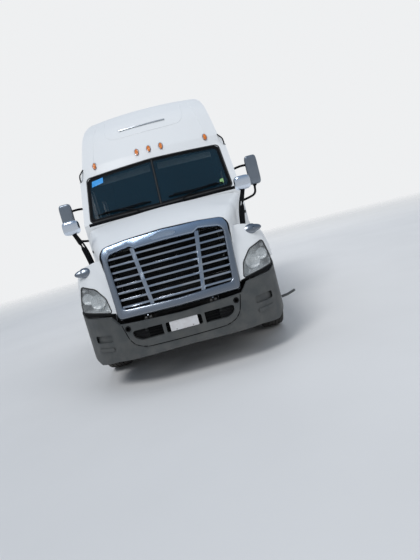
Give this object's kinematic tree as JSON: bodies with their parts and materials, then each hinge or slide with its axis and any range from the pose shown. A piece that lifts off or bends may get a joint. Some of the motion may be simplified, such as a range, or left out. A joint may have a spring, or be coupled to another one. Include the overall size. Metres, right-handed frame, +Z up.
{
  "type": "semi truck tractor unit",
  "caption": "Conventional sleeper tractor with a raised roof, tilting hood, chrome grille, moulded grey bumper, twin drive wheels and a fifth wheel.",
  "frame": {"origin": "on the ground at the middle of the vehicle", "axes": "+Z up, -Y to the front, +X to the vehicle's left"},
  "size_m": [3.06, 8.35, 3.9599],
  "materials": {
    "chassis_black": "satin",
    "rubber_black": "matte",
    "bare_steel": "satin",
    "engine_grey": "matte",
    "radiator_black": "matte",
    "bumper_grey": "matte",
    "trim_black": "matte",
    "body_white": "gloss",
    "window_glass": "polished",
    "amber_lens": "gloss",
    "cab_grey": "matte",
    "seat_fabric": "matte",
    "tank_aluminium": "polished",
    "greased_steel": "satin",
    "red_lens": "gloss",
    "chrome_trim": "polished",
    "lamp_lens": "gloss",
    "mirror_silver": "satin",
    "tyre_rubber": "matte",
    "wheel_aluminium": "polished"
  },
  "bodies": {
    "tractor": {"ladder_frame": "chassis_black", "crossmembers": "chassis_black", "front_axle": "chassis_black", "leaf_springs": "chassis_black", "drive_axles": "chassis_black", "air_suspension": "rubber_black", "driveshaft": "bare_steel", "powertrain": "engine_grey", "radiator": "radiator_black", "bumper": "bumper_grey", "bumper_insert": "trim_black", "cab_shell": "body_white", "roof_cap": "body_white", "windshield_glass": "window_glass", "sleeper_windows": "window_glass", "side_extenders": "body_white", "roof_markers": "amber_lens", "dashboard": "cab_grey", "seats": "seat_fabric", "bunk": "seat_fabric", "cab_steps": "trim_black", "fuel_tanks": "tank_aluminium", "tank_brackets": "chassis_black", "deck_plate": "tank_aluminium", "fifth_wheel_base": "chassis_black", "mudflaps": "rubber_black", "tail_lamps": "red_lens"},
    "hood": {"hood_panel": "body_white", "fenders": "body_white", "grille_surround": "chrome_trim", "grille_bars": "chrome_trim", "headlamps": "lamp_lens", "hood_mirrors": "chrome_trim"},
    "tie_rod_body": {"tie_rod": "bare_steel"},
    "steering_wheel_body": {"steering_wheel": "trim_black"},
    "coupling_plate": {"fifth_wheel_plate": "greased_steel"},
    "entry_door_left": {"door_left": "body_white", "door_glass_left": "window_glass", "door_mirror_left": "mirror_silver"},
    "locker_door_left": {"baggage_door_left": "body_white"},
    "steer_knuckle_left": {"knuckle_left": "chassis_black"},
    "wheel_front_left": {"tyre_front_left": "tyre_rubber", "rim_front_left": "wheel_aluminium"},
    "twin_wheels_front_left": {"tyres_drive_front_left": "tyre_rubber", "rims_drive_front_left": "wheel_aluminium"},
    "twin_wheels_rear_left": {"tyres_drive_rear_left": "tyre_rubber", "rims_drive_rear_left": "wheel_aluminium"},
    "entry_door_right": {"door_right": "body_white", "door_glass_right": "window_glass", "door_mirror_right": "mirror_silver"},
    "locker_door_right": {"baggage_door_right": "body_white"},
    "steer_knuckle_right": {"knuckle_right": "chassis_black"},
    "wheel_front_right": {"tyre_front_right": "tyre_rubber", "rim_front_right": "wheel_aluminium"},
    "twin_wheels_front_right": {"tyres_drive_front_right": "tyre_rubber", "rims_drive_front_right": "wheel_aluminium"},
    "twin_wheels_rear_right": {"tyres_drive_rear_right": "tyre_rubber", "rims_drive_rear_right": "wheel_aluminium"}
  },
  "joints": [
    {"name": "hood_tilt", "type": "hinge", "parent": "tractor", "child": "hood", "pos_m": [0, -4.057, 0.735], "axis": [1, 0, 0], "range_deg": [0, 65]},
    {"name": "door_left_hinge", "type": "hinge", "parent": "tractor", "child": "entry_door_left", "pos_m": [1.185, -2.087, 1.6], "axis": [0, 0, -1], "range_deg": [0, 65]},
    {"name": "locker_left_hinge", "type": "hinge", "parent": "tractor", "child": "locker_door_left", "pos_m": [1.17, -0.775, 1.32], "axis": [0, 0, -1], "range_deg": [0, 110]},
    {"name": "steer_left", "type": "hinge", "parent": "tractor", "child": "steer_knuckle_left", "pos_m": [0.86, -2.885, 0.51], "axis": [0, 0, 1], "range_deg": [-40, 40]},
    {"name": "wheel_front_left_roll", "type": "hinge", "parent": "steer_knuckle_left", "child": "wheel_front_left", "pos_m": [1.045, -2.885, 0.51], "axis": [1, 0, 0], "continuous": true},
    {"name": "twin_wheels_front_left_roll", "type": "hinge", "parent": "tractor", "child": "twin_wheels_front_left", "pos_m": [0.9075, 2.25, 0.51], "axis": [1, 0, 0], "continuous": true},
    {"name": "twin_wheels_rear_left_roll", "type": "hinge", "parent": "tractor", "child": "twin_wheels_rear_left", "pos_m": [0.9075, 3.56, 0.51], "axis": [1, 0, 0], "continuous": true},
    {"name": "door_right_hinge", "type": "hinge", "parent": "tractor", "child": "entry_door_right", "pos_m": [-1.185, -2.087, 1.6], "axis": [0, 0, 1], "range_deg": [0, 65]},
    {"name": "locker_right_hinge", "type": "hinge", "parent": "tractor", "child": "locker_door_right", "pos_m": [-1.17, -0.775, 1.32], "axis": [0, 0, 1], "range_deg": [0, 110]},
    {"name": "steer_right", "type": "hinge", "parent": "tractor", "child": "steer_knuckle_right", "pos_m": [-0.86, -2.885, 0.51], "axis": [0, 0, 1], "range_deg": [-40, 40]},
    {"name": "wheel_front_right_roll", "type": "hinge", "parent": "steer_knuckle_right", "child": "wheel_front_right", "pos_m": [-1.045, -2.885, 0.51], "axis": [1, 0, 0], "continuous": true},
    {"name": "twin_wheels_front_right_roll", "type": "hinge", "parent": "tractor", "child": "twin_wheels_front_right", "pos_m": [-0.9075, 2.25, 0.51], "axis": [1, 0, 0], "continuous": true},
    {"name": "twin_wheels_rear_right_roll", "type": "hinge", "parent": "tractor", "child": "twin_wheels_rear_right", "pos_m": [-0.9075, 3.56, 0.51], "axis": [1, 0, 0], "continuous": true},
    {"name": "tie_rod_pivot", "type": "hinge", "parent": "steer_knuckle_left", "child": "tie_rod_body", "pos_m": [0.86, -2.695, 0.44], "axis": [0, 0, 1], "range_deg": [-40, 40]},
    {"name": "steering_column", "type": "hinge", "parent": "tractor", "child": "steering_wheel_body", "pos_m": [0.52, -1.535, 1.7], "axis": [0, 0.9104, 0.4138], "range_deg": [-480, 480]},
    {"name": "coupling_plate_tilt", "type": "hinge", "parent": "tractor", "child": "coupling_plate", "pos_m": [0, 2.905, 1.12], "axis": [1, 0, 0], "range_deg": [-12, 12]}
  ],
  "couplings": [
    {"joint": "steer_right", "follows": "steer_left", "ratio": 1},
    {"joint": "tie_rod_pivot", "follows": "steer_left", "ratio": -1},
    {"joint": "steering_column", "follows": "steer_left", "ratio": 12}
  ]
}
